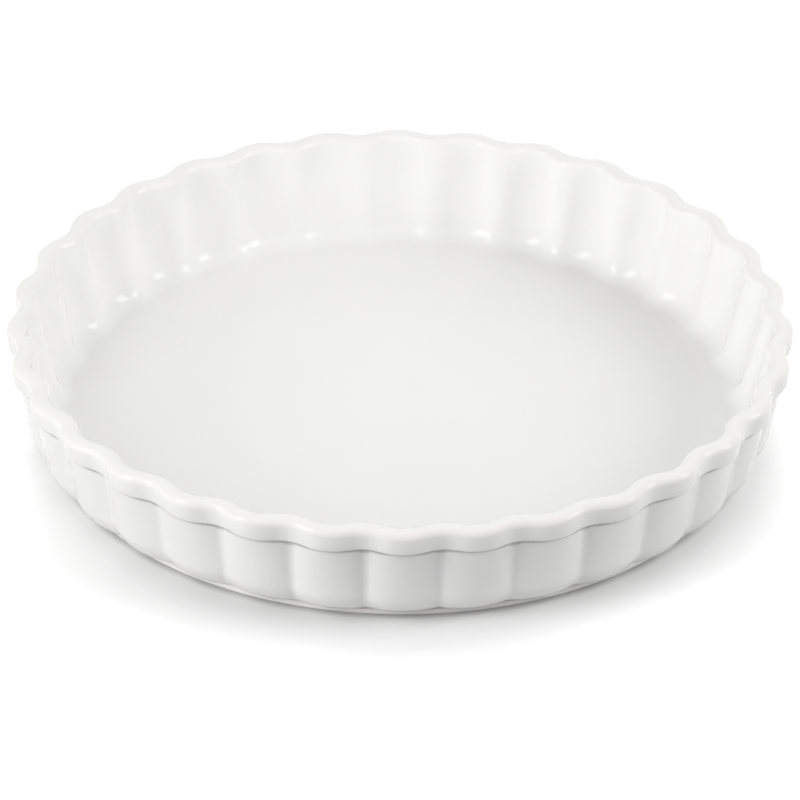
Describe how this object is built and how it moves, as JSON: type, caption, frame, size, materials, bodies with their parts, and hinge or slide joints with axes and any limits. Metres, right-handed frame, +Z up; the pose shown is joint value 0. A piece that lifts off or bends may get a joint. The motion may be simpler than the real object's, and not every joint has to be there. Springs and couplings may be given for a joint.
{
  "type": "fluted quiche dish",
  "caption": "Round glazed ceramic baking dish with a flat floor, a fluted wall that leans outward, a thick fluted rim band and a plain foot ring.",
  "frame": {"origin": "centre of the circle that the foot ring stands on", "axes": "+Z up along the dish's axis, out of its mouth; +X through the middle of a lobe"},
  "size_m": [0.2792, 0.2792, 0.0432],
  "materials": {
    "white_glaze": "high-gloss white glaze",
    "foot_ceramic": "white body, wiped bare where it touches the table"
  },
  "bodies": {
    "root": {"base_plate": "white_glaze", "fluted_wall": "white_glaze", "rim_band": "white_glaze", "foot_ring": "foot_ceramic"}
  },
  "joints": []
}
